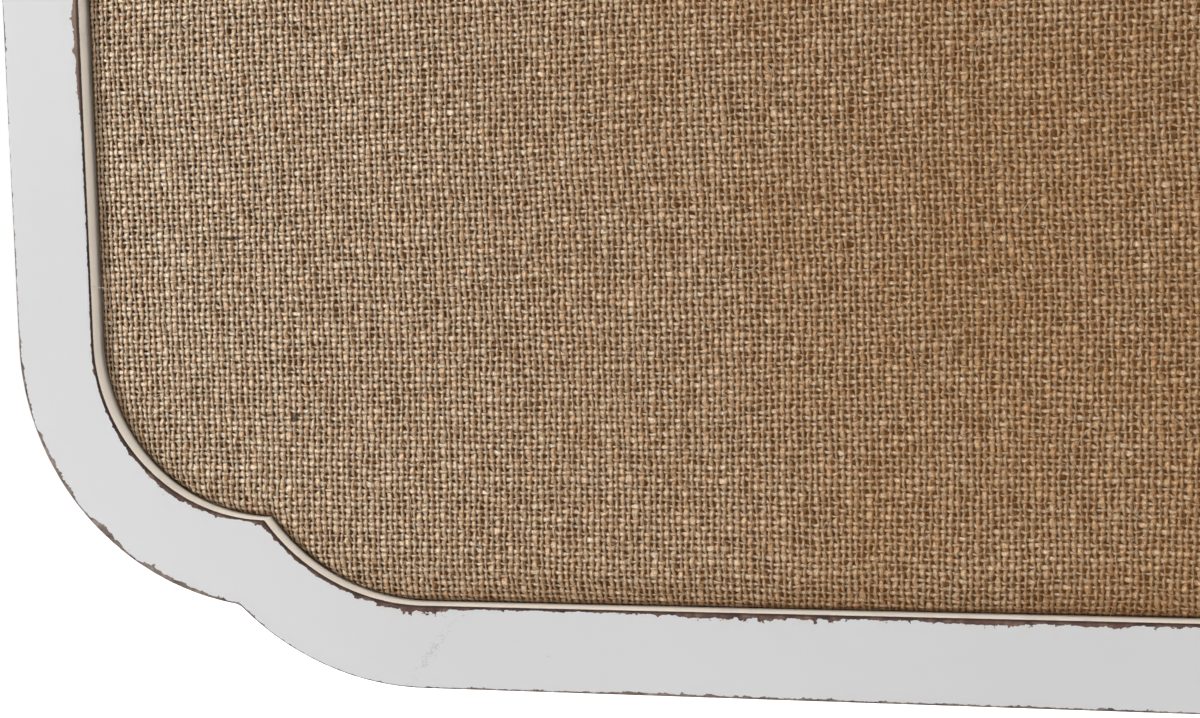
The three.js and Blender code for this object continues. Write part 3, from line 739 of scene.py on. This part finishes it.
def frame_member(name, path, right, up):
    """A stile, rail or corner block: the moulding's section along a path, with dented arrises."""
    rows = section_rows()
    outer_path, sight_path = path(OUTER, 0), path(SIGHT, 0)
    outer_line, sight_line = on_board(outer_path, right, up), on_board(sight_path, right, up)
    count = len(outer_line)
    lines, distances = [], []
    for edge, inset, deep, surface in rows:
        line = path(edge, inset) if edge else (1 - inset) * outer_path + inset * sight_path
        lines.append(on_board(line, right, up))
        distances.append(arris_distances(lines[-1], deep, surface, sight_line, outer_line))
    flat = np.concatenate(lines)
    depth = np.repeat([row[2] for row in rows], count)
    to_sight, to_outer = np.concatenate(distances, axis=1)
    sight_wear = np.tile(wear_width(sight_line, SIGHT_WEAR, 11), len(rows))
    outer_wear = np.tile(wear_width(outer_line, OUTER_WEAR, 23), len(rows))
    points = np.stack([flat[:, 0], -depth, flat[:, 1]], axis=1)
    dent = np.maximum(0, smooth_noise(points, 2.6, 5) - 0.15)
    dent += 0.5 * np.maximum(0, smooth_noise(points, 1.1, 6))
    near_sight = np.clip(1 - np.abs(to_sight) / DENT_REACH, 0, 1) * np.clip(sight_wear, *DENT_LIMITS)
    near_outer = np.clip(1 - np.abs(to_outer) / DENT_REACH, 0, 1) * np.clip(outer_wear, *DENT_LIMITS)
    points[:, 1] += DENT_DEPTH * dent * np.maximum(near_sight, near_outer)
    faces, finish = [], []
    mirrored = right * up < 0
    for row in range(len(rows)):
        after = (row + 1) % len(rows)
        finish += [SURFACES.index(rows[after][3])] * (count - 1)
        for here, there in zip(range(row * count, (row + 1) * count - 1), range(after * count, len(flat))):
            ring = [here, there, there + 1, here + 1]
            faces.append(ring[::-1] if mirrored else ring)
    first, last = [[row * count + end for row in range(len(rows))] for end in (0, count - 1)]
    faces += [first, last[::-1]] if mirrored else [first[::-1], last]
    finish += [SURFACES.index("back")] * 2
    middle = (sight_line + outer_line) / 2
    along = np.concatenate([[0], np.cumsum(apart(middle[1:], middle[:-1]))])
    across = np.concatenate([apart(line, outer_line) for line in lines])
    piece = new_piece(name + "_moulding", points, faces, [WHITE, LIT_WALL_PAINT, THIN_COAT], sharp=40)
    piece.data.polygons.foreach_set("material_index", finish)
    attribute(piece, "grain_place", np.stack([np.tile(along, len(rows)), across, depth], axis=1))
    attribute(piece, "to_sight", to_sight)
    attribute(piece, "to_outer", to_outer)
    attribute(piece, "sight_wear", sight_wear)
    attribute(piece, "outer_wear", outer_wear)
    return stand_for(piece, name, "board")


def straight_path(upright, length):
    """A path along a stile or a rail, with a step of about 1 mm."""
    start = (CORNER_HEIGHT if upright else CORNER_WIDTH) + JOINT_SETBACK
    along = np.linspace(start, length - start, round(length - 2 * start) + 1)

    def path(edge, inset):
        across = np.full(len(along), edge["margin"] + inset)
        return np.stack([across, along] if upright else [along, across], axis=1)

    return path


def corner_member_path(edge, inset):
    """A path round a corner, with a short straight to the joint at either end."""
    line = corner_path(edge, inset, SIDE_STEPS, RAIL_STEPS)
    away = np.linspace(JOINT_SETBACK, 0, SETBACK_STEPS, endpoint=False)[:, None]
    return np.concatenate([line[0] + away * [0, 1], line, line[-1] + away[::-1] * [1, 0]])


def add_frame():
    frame_member("left_stile", straight_path(True, BOARD_HEIGHT), -1, -1)
    frame_member("right_stile", straight_path(True, BOARD_HEIGHT), 1, -1)
    frame_member("bottom_rail", straight_path(False, BOARD_WIDTH), -1, -1)
    frame_member("top_rail", straight_path(False, BOARD_WIDTH), -1, 1)
    for name, (right, up) in CORNERS.items():
        frame_member(name + "_corner", corner_member_path, right, up)


# Padded panel and back

def sight_loop(inset, side_steps, rail_steps, stile_steps, top_steps):
    """The sight outline at an inset, from the middle of the lower left side arc, counter-clockwise."""
    corner = corner_path(SIGHT, inset, side_steps, rail_steps)
    lines = []
    for right, up in CORNERS.values():
        line = on_board(corner, right, up)
        lines.append(line if right == up else line[::-1])
    loop = []
    for k, steps in enumerate((top_steps, stile_steps, top_steps, stile_steps)):
        share = np.linspace(0, 1, steps + 1)[1:-1, None]
        following = lines[(k + 1) % len(lines)][0]
        loop += [lines[k], lines[k][-1] * (1 - share) + following * share]
    return np.roll(np.concatenate(loop), -(side_steps // 2), axis=0)


def patch_inside(loop, wide, tall):
    """Indices and points of a grid of quads that fills a loop of 2 * (wide + tall) points."""
    bottom, right = loop[:wide + 1], loop[wide:wide + tall + 1]
    top = loop[wide + tall:2 * wide + tall + 1][::-1]
    left = np.concatenate([loop[2 * wide + tall:], loop[:1]])[::-1]
    s = np.linspace(0, 1, wide + 1)[None, :, None]
    t = np.linspace(0, 1, tall + 1)[:, None, None]
    grid = (1 - t) * bottom[None] + t * top[None] + (1 - s) * left[:, None] + s * right[:, None]
    grid -= (1 - s) * (1 - t) * bottom[0] + s * (1 - t) * bottom[-1] + (1 - s) * t * top[0] + s * t * top[-1]
    number = np.full((tall + 1, wide + 1), -1)
    number[0, :] = np.arange(wide + 1)
    number[:, -1] = wide + np.arange(tall + 1)
    number[-1, ::-1] = wide + tall + np.arange(wide + 1)
    number[::-1, 0] = (2 * wide + tall + np.arange(tall + 1)) % (2 * (wide + tall))
    inner = number < 0
    number[inner] = 2 * (wide + tall) + np.arange(inner.sum())
    return number, grid[inner]


def grid_quads(number, backwards=False):
    """Faces of a grid of point numbers, turned to the front or to the back."""
    corners = [number[:-1, :-1], number[:-1, 1:], number[1:, 1:], number[1:, :-1]]
    if backwards:
        corners[1:] = corners[:0:-1]
    return np.stack(corners, axis=-1).reshape(-1, 4).tolist()


def lofted_panel(name, rings, material, step, back, front_wave=0.0):
    """A panel inside the sight outline: a front patch, rings out to its edge and round to its back."""
    side_steps = 2 * max(4, round(HALF_SIDE_ARC / step))
    rail_steps = max(4, round(RAIL_ARC / step))
    stile_steps = max(4, round((BOARD_HEIGHT - 2 * CORNER_HEIGHT) / step))
    top_steps = max(4, round((BOARD_WIDTH - 2 * CORNER_WIDTH) / step))
    wide = side_steps + 2 * rail_steps + top_steps
    tall = side_steps + stile_steps
    loops = [sight_loop(inset, side_steps, rail_steps, stile_steps, top_steps) for inset, _ in rings]
    count = len(loops[0])
    number, middle = patch_inside(loops[0], wide, tall)
    flat = np.concatenate([loops[0], middle, *loops[1:]])
    depth = np.repeat([deep for _, deep in rings], [count + len(middle)] + [count] * (len(rings) - 1))
    starts = [0] + [count + len(middle) + k * count for k in range(len(rings) - 1)]
    faces = grid_quads(number)
    turn = np.arange(count)
    after = (turn + 1) % count
    for inner, outer in zip(starts, starts[1:]):
        faces += np.stack([inner + after, inner + turn, outer + turn, outer + after], axis=1).tolist()
    if back:
        number, middle = patch_inside(loops[-1], wide, tall)
        number = np.where(number < count, number + starts[-1], number - count + len(flat))
        flat = np.concatenate([flat, middle])
        depth = np.concatenate([depth, np.full(len(middle), rings[-1][1])])
        faces += grid_quads(number, backwards=True)
    points = np.stack([flat[:, 0], -depth, flat[:, 1]], axis=1)
    if front_wave:
        lift = np.clip((depth - CLOTH_RIM) / (CROWN - CLOTH_RIM), 0, 1)
        wave = smooth_noise(flat, 85, 31) + 0.5 * smooth_noise(flat, 30, 32)
        points[:, 1] -= front_wave * lift * wave
    piece = new_piece(name, points, faces, [material], sharp=50)
    return piece, flat, loops, starts


def roll_rings(steps, inset, width, rim, crown):
    """Rings of (inset, depth) from the crown in a quarter round out to the rim."""
    turns = [step / steps * math.pi / 2 for step in range(steps, -1, -1)]
    return [(inset + width * (1 - math.cos(t)), rim + (crown - rim) * math.sin(t)) for t in turns]


def cloth_rings():
    """From the crown out over the roll, behind the lip, round the core's edge and back to the hem."""
    rings = roll_rings(ROLL_STEPS, CLOTH_INSET, ROLL_WIDTH, CLOTH_RIM, CROWN)
    bent = CLOTH_EDGE + CLOTH_BEND
    rings += [(-CLOTH_BEND, CLOTH_RIM - 0.1), (bent, CLOTH_RIM - 0.1), (CLOTH_EDGE, CLOTH_RIM - 0.8)]
    rings += [(CLOTH_EDGE, HEM_BACK + 0.7), (bent, HEM_BACK), (CLOTH_EDGE + HEM_WIDTH, HEM_BACK)]
    return rings


def add_burlap():
    """The cover: one sheet, with the place of each point in the flat cloth counted in threads."""
    rings = cloth_rings()
    piece, flat, loops, starts = lofted_panel(
        "burlap_sheet", rings, BURLAP, CLOTH_STEP, False, CLOTH_WAVE)
    outward = loops[ROLL_STEPS] - loops[0]
    outward /= np.linalg.norm(outward, axis=1)[:, None]
    place = flat.copy()
    from_wall = np.full(len(flat), rings[0][0])
    length = 0.0
    for start, before, ring in zip(starts[1:], rings, rings[1:]):
        length += math.hypot(ring[0] - before[0], ring[1] - before[1])
        place[start:start + len(loops[0])] = loops[0] + outward * length
        from_wall[start:start + len(loops[0])] = max(ring[0], 0)
    drift = np.stack([
        1.1 * smooth_noise(flat, 90, 41) + 0.45 * smooth_noise(flat, 28, 42),
        1.1 * smooth_noise(flat, 80, 43) + 0.45 * smooth_noise(flat, 26, 44),
    ], axis=1)
    threads = (place + drift) / THREAD_PITCH
    attribute(piece, "thread_place", np.column_stack([threads, np.zeros(len(threads))]))
    attribute(piece, "from_wall", from_wall)
    return stand_for(piece, "burlap_cover", "board")


def add_whisker(points, faces, start, angle, bend, length, radius, height_at):
    """Adds one thin, bent, tapering fibre that starts at a place in mm from the board's middle."""
    base = len(points)
    at = np.array(start, float)
    for step in range(FIBRE_STEPS + 1):
        share = step / FIBRE_STEPS
        heading = angle + bend * share
        if step:
            at = at + length / FIBRE_STEPS * np.array([math.cos(heading), math.sin(heading)])
        thick = radius * (1 - FIBRE_TAPER * share)
        for side in range(FIBRE_SIDES):
            turn = 2 * math.pi * side / FIBRE_SIDES
            across = thick * math.cos(turn)
            points.append((
                at[0] - across * math.sin(heading),
                -(height_at(share) + thick * math.sin(turn)),
                BOARD_MIDDLE_Z + at[1] + across * math.cos(heading),
            ))
    faces += tube_faces(FIBRE_STEPS + 1, FIBRE_SIDES, first=base)


def add_fibres():
    """Loose jute fibres: thin bent whiskers that lie on the cloth, a few reaching over its edge."""
    chance = np.random.default_rng(7)
    points, faces = [], []
    half_width, half_height = BOARD_WIDTH / 2 - FACE_WIDTH - 3, BOARD_HEIGHT / 2 - FACE_WIDTH - 3
    made = 0
    while made < FIBRE_COUNT:
        x, z = chance.uniform(-half_width, half_width), chance.uniform(-half_height, half_height)
        angle, bend = chance.uniform(0, 2 * math.pi), chance.normal(0, 1.2)
        length, lift = chance.uniform(3, 14), chance.uniform(0.1, 0.9)
        into_x = abs(x) - (BOARD_WIDTH / 2 - CORNER_WIDTH)
        into_z = abs(z) - (BOARD_HEIGHT / 2 - CORNER_HEIGHT)
        if into_x > 60 and into_z > 40:
            continue
        edge = min(half_width - abs(x), half_height - abs(z))
        rest = CROWN + 0.25 - 3.6 * max(0, 1 - (edge + 1) / ROLL_WIDTH) ** 2
        made += 1
        add_whisker(points, faces, (x, z), angle, bend, length, FIBRE_RADIUS,
                    lambda share: rest + lift * math.sin(math.pi * min(1, share * 1.1)))
    for from_left, from_end, angle, length, bend, low, high in PLACED_FIBRES:
        start = from_left - BOARD_WIDTH / 2, from_end - BOARD_HEIGHT / 2
        add_whisker(points, faces, start, math.radians(angle), bend, length, PLACED_RADIUS,
                    lambda share: FACE - low + (low - high) * math.sin(math.pi / 2 * share))
    piece = new_piece("burlap_loose_fibres", points, faces, [FIBRE])
    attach(piece, "board")
    return piece


def add_panel():
    """Everything inside the frame's rebate."""
    cloth = add_burlap()
    fibres = add_fibres()
    core_front = -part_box("insert_core")[0].y / MM
    rings = roll_rings(WADDING_ROLL_STEPS, WADDING_INSET, WADDING_ROLL, WADDING_RIM, WADDING_CROWN)
    rings += [(WADDING_EDGE, CLOTH_RIM - 1.25), (WADDING_EDGE, core_front + 0.2)]
    padding, *_ = lofted_panel("insert_padding_wadding", rings, WADDING, WADDING_STEP, True)
    stand_for(padding, "insert_padding", "board")
    front = -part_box("back_panel")[0].y / MM
    eased = CLOTH_EDGE + PANEL_EASE
    rings = [(eased, front), (CLOTH_EDGE, front - PANEL_EASE)]
    rings += [(CLOTH_EDGE, BACK + PANEL_EASE), (eased, BACK)]
    panel, *_ = lofted_panel("back_panel_hardboard", rings, HARDBOARD, PANEL_STEP, True)
    stand_for(panel, "back_panel", "board")


# Hardware on the back

def hang_ring(name, body):
    """A round rod bent to a D, with soft corners where the bow meets the bar."""
    low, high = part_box(name)
    rod = (high.y - low.y) / MM / 2
    middle = np.array([(low.x + high.x) / 2, (low.y + high.y) / 2, high.z]) / MM
    half = (high.x - low.x) / MM / 2 - rod - RING_PLAY
    deep = (high.z - low.z) / MM - 2 * rod
    soft = RING_CORNER
    bow = [(-half * math.cos(t), -deep * math.sin(t)) for t in np.linspace(0, math.pi, 40)]
    bow = [(x, z) for x, z in bow if abs(z) > soft * 0.9]
    quarter = np.linspace(0, math.pi / 2, 6)
    right = [(half - soft * (1 - math.cos(t)), -soft * (1 - math.sin(t))) for t in quarter]
    bar = [(x, 0) for x in np.linspace(half - soft, soft - half, 14)[1:-1]]
    left = [(-x, z) for x, z in reversed(right)]
    loop = np.array(bow + right + bar + left)
    ahead = np.roll(loop, -1, axis=0) - np.roll(loop, 1, axis=0)
    ahead /= np.hypot(*ahead.T)[:, None]
    points = []
    for (x, z), (east, north) in zip(loop, ahead):
        place = middle + np.array([x, 0, z - rod])
        side, up = np.array([-north, 0, east]), np.array([0, 1, 0])
        for t in np.linspace(0, 2 * math.pi, ROD_SIDES, endpoint=False):
            points.append(place + rod * math.cos(t) * side + rod * math.sin(t) * up)
    piece = new_piece(name + "_rod", points, tube_faces(len(loop), ROD_SIDES, closed=True), [ZINC])
    return stand_for(piece, name, body)


def hang_strap(name):
    """A steel strip that lies on the frame and curls round the ring's bar, with a rounded foot."""
    low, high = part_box(name)
    width = (high.x - low.x) / MM
    x = (low.x + high.x) / 2 / MM
    outside = (high.y - low.y) / MM / 2
    pin_y, pin_z = high.y / MM - outside, high.z / MM - outside
    foot = low.z / MM
    mean, radius = outside - STRAP_THICK / 2, width / 2
    foot_turn = np.linspace(0.1, math.pi / 2, 16)
    line = [(pin_y - mean, foot + radius * (1 - math.cos(t)), radius * math.sin(t)) for t in foot_turn]
    line += [(pin_y - mean, z, radius) for z in np.linspace(foot + radius, pin_z, 12)[1:]]
    for turn in np.radians(np.linspace(*STRAP_CURL, 40)):
        line.append((pin_y - mean * math.cos(turn), pin_z + mean * math.sin(turn), radius))
    points = []
    top = STRAP_THICK / 2
    for k, (y, z, half) in enumerate(line):
        before, after = line[max(k - 1, 0)], line[min(k + 1, len(line) - 1)]
        ahead = np.array([after[0] - before[0], after[1] - before[1]])
        ahead /= np.hypot(*ahead)
        edge, low_edge = half - STRAP_EASE, top - STRAP_EASE
        ring = [(-edge, -top), (edge, -top), (half, -low_edge), (half, low_edge)]
        ring += [(edge, top), (-edge, top), (-half, low_edge), (-half, -low_edge)]
        points += [(x + across, y + up * ahead[1], z - up * ahead[0]) for across, up in ring]
    piece = new_piece(name + "_strip", points, tube_faces(len(line), len(ring)), [ZINC], sharp=SHARP_STEEL)
    tidy_normals(piece)
    return stand_for(piece, name, "board")


def lathe(profile, sides):
    """Points and faces of a profile of (radius, height) turned about Y."""
    points, faces, rows = [], [], []
    for radius, height in profile:
        if radius < 1e-6:
            rows.append([len(points)] * sides)
            points.append((0, height, 0))
            continue
        rows.append(list(range(len(points), len(points) + sides)))
        for side in range(sides):
            turn = 2 * math.pi * side / sides
            points.append((radius * math.cos(turn), height, radius * math.sin(turn)))
    for lower, upper in zip(rows, rows[1:]):
        for side in range(sides):
            m = (side + 1) % sides
            faces.append(tuple(dict.fromkeys([lower[side], lower[m], upper[m], upper[side]])))
    return points, faces


def cross_recess():
    """A tapered cross that is cut from a screw's head."""
    points, faces = [], []
    for turned in (False, True):
        faces += tube_faces(2, 4, first=len(points))
        for height, long, wide in RECESS:
            for a, b in ((-long, -wide), (long, -wide), (long, wide), (-long, wide)):
                points.append((b, height, a) if turned else (a, height, b))
    return points, faces


def screw_mesh(node):
    """A pan-head screw about the middle of its head's underside, with a cross recess in the head."""
    low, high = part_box(node)
    point = SCREW_HEAD - (high.y - low.y) / MM
    radius = (high.x - low.x) / MM / 2
    profile = [(0.0, point), (SCREW_SHANK, point + SCREW_POINT), (SCREW_SHANK, 0)]
    profile += [(radius - 0.1, 0), (radius, 0.12)]
    for turn in np.linspace(0, math.pi / 2, 9):
        profile.append((1.5 + (radius - 1.5) * math.cos(turn), 0.5 + (SCREW_HEAD - 0.5) * math.sin(turn)))
    profile.append((0.0, SCREW_HEAD))
    body = new_piece("screw_blank", *lathe(profile, SCREW_SIDES), [ZINC], sharp=SHARP_STEEL)
    tidy_normals(body)
    cutter = new_piece("screw_recess", *cross_recess(), [ZINC], smooth=False)
    tidy_normals(cutter)
    cut = body.modifiers.new("recess", "BOOLEAN")
    cut.operation = "DIFFERENCE"
    cut.solver = "EXACT"
    cut.use_self = True
    cut.object = cutter
    seen = body.evaluated_get(bpy.context.evaluated_depsgraph_get())
    mesh = bpy.data.meshes.new_from_object(seen)
    bpy.data.objects.remove(body)
    bpy.data.objects.remove(cutter)
    return mesh


def turn_button_mesh():
    """A stamped steel button with its pivot at the origin, reaching along +X, with eased edges."""
    quarter = math.pi / 2
    root, tip = BUTTON_ROOT, BUTTON_TIP
    outline = [(root * math.cos(t), root * math.sin(t)) for t in np.linspace(quarter, 3 * quarter, 25)]
    for t in np.linspace(-quarter, quarter, 21):
        outline.append((BUTTON_REACH - tip + tip * math.cos(t), tip * math.sin(t)))
    outline = np.array(outline)
    ahead = np.roll(outline, -1, axis=0) - np.roll(outline, 1, axis=0)
    outward = np.stack([ahead[:, 1], -ahead[:, 0]], axis=1) / np.hypot(*ahead.T)[:, None]
    eased = BUTTON_THICK - BUTTON_EASE
    points = []
    for inset, height in ((BUTTON_EASE, 0), (0, BUTTON_EASE), (0, eased), (BUTTON_EASE, BUTTON_THICK)):
        points += [(x, height, z) for x, z in outline - inset * outward]
    return points, tube_faces(4, len(outline))


def felt_bumper(node):
    """A felt disc with a soft outer edge and an uneven side."""
    low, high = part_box(node)
    radius, deep = (high.x - low.x) / MM / 2, (high.y - low.y) / MM
    profile = [(0, 0), (radius, 0)]
    profile += [(radius, height) for height in np.linspace(0.6, deep - FELT_EASE, 6)]
    for turn in (0.5, 1, 1.57):
        profile.append((radius - FELT_EASE * (1 - math.cos(turn)), deep - FELT_EASE * (1 - math.sin(turn))))
    profile += [(radius * share, deep) for share in (0.6, 0.3)] + [(0, deep)]
    points, faces = lathe(profile, FELT_SIDES)
    points = np.array(points, float)
    fuzz = 1 - 0.02 * (smooth_noise(points, 0.9, 61) + 1)
    points[:, [0, 2]] *= fuzz[:, None]
    points += np.array([(low.x + high.x) / 2, low.y, (low.z + high.z) / 2]) / MM
    piece = new_piece(node + "_felt", points, faces, [FELT], sharp=60)
    tidy_normals(piece)
    return stand_for(piece, node, "board")


def add_hardware():
    """Strap hangers, rings, turn buttons, screws and bumpers, each where its CAD node is."""
    bodies = {node: name for name, nodes in frame["record"]["behaviour"]["bodies"].items() for node in nodes}
    joints = {joint["child"]: joint for joint in frame["joints"]}
    screws = [node for node in frame["nodes"] if node.endswith("_screw")]
    mesh = screw_mesh(screws[0])
    for number, node in enumerate(sorted(screws)):
        low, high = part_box(node)
        piece = bpy.data.objects.new(node + "_pan_head", mesh)
        bpy.context.scene.collection.objects.link(piece)
        place = ((low.x + high.x) / 2, high.y - SCREW_HEAD * MM, (low.z + high.z) / 2)
        set_on_back(piece, place, 0.7 + 2.1 * number)
        stand_for(piece, node, "board")
    for node in sorted(n for n in frame["nodes"] if n.endswith("_turn_button")):
        low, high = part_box(node)
        pivot = Vector(joints[bodies[node]]["pos_m"])
        toward = (low + high) / 2 - pivot
        piece = new_piece(node + "_plate", *turn_button_mesh(), [ZINC], sharp=SHARP_STEEL)
        tidy_normals(piece)
        set_on_back(piece, (pivot.x, low.y, pivot.z), -math.atan2(toward.z, toward.x))
        stand_for(piece, node, bodies[node])
    for side in ("left", "right"):
        hang_strap(side + "_hanger_strap")
        hang_ring(side + "_hanger_ring", side + "_ring")
    for node in sorted(n for n in frame["nodes"] if n.endswith("_bumper")):
        felt_bumper(node)


def dress_hidden_nodes():
    """Pieces inside the frame whose solids are right: only their finish changes."""
    for name, node in frame["nodes"].items():
        if "dowel" in name or name == "insert_core":
            node.data.materials.clear()
            node.data.materials.append(BEECH if "dowel" in name else FIBREBOARD)


# Camera, light and floor

def add_camera():
    camera = bpy.data.objects.new("camera", bpy.data.cameras.new("camera"))
    bpy.context.scene.collection.objects.link(camera)
    turn = Matrix.Rotation(math.radians(CAMERA_YAW), 4, "Z")
    turn = turn @ Matrix.Rotation(math.radians(90 + CAMERA_PITCH), 4, "X")
    turn = turn @ Matrix.Rotation(math.radians(CAMERA_ROLL), 4, "Z")
    camera.matrix_world = Matrix.Translation(CAMERA_PLACE) @ turn
    camera.data.sensor_width = SENSOR_WIDTH
    camera.data.lens = FOCAL_PIXELS / IMAGE_WIDTH * SENSOR_WIDTH
    camera.data.clip_start = 0.01
    bpy.context.scene.camera = camera


def add_lamp(name, place, aim, size, power):
    data = bpy.data.lights.new(name, "AREA")
    data.shape = "DISK"
    data.size = size
    data.energy = power
    lamp = bpy.data.objects.new(name, data)
    bpy.context.scene.collection.objects.link(lamp)
    lamp.location = place
    lamp.rotation_euler = (Vector(aim) - Vector(place)).to_track_quat("-Z", "Y").to_euler()


def add_world():
    """A weak even light, with plain white where it is seen directly."""
    world = bpy.data.worlds.new("studio")
    bpy.context.scene.world = world
    world.use_nodes = True
    g = Graph(world.node_tree)
    g.tree.nodes.remove(g.tree.nodes["Background"])
    fill = g.value(0, "Background", {"Color": (1, 1, 1), "Strength": WORLD_LIGHT})
    white = g.value(0, "Background", {"Color": (1, 1, 1), "Strength": 1})
    shown = g.value(0, "MixShader", {0: g.seen_directly(), 1: fill, 2: white})
    g.give(g.tree.nodes["World Output"].inputs[0], shown)


def add_floor():
    """A pale floor that keeps the object's shadow."""
    below = CAD_LOW.z / MM - FLOOR_BELOW
    corners = [(x * FLOOR_REACH, y * FLOOR_REACH, below) for x, y in ((-1, -1), (1, -1), (1, 1), (-1, 1))]
    material, g = new_material("floor_white")
    floor = new_piece("floor", corners, [(0, 1, 2, 3)], [material], smooth=False)
    x, y, _ = g.separate(g.place())
    far = g.range(g.math("SQRT", x * x + y * y), 0.7, 2.2, 0, 1, "SMOOTHSTEP")
    g.set(Base_Color=g.mix(far, (0.9, 0.9, 0.9), (0, 0, 0)), Roughness=1)
    g.set(Specular_IOR_Level=0, Emission_Color=(1, 1, 1))
    g.set(Emission_Strength=g.seen_directly() * g.range(far, 0, 1, 0.6, 1))


add_camera()
add_frame()
add_panel()
add_hardware()
dress_hidden_nodes()
add_world()
add_floor()
for lamp in LAMPS:
    add_lamp(*lamp)
bpy.context.scene.view_settings.view_transform = "Standard"
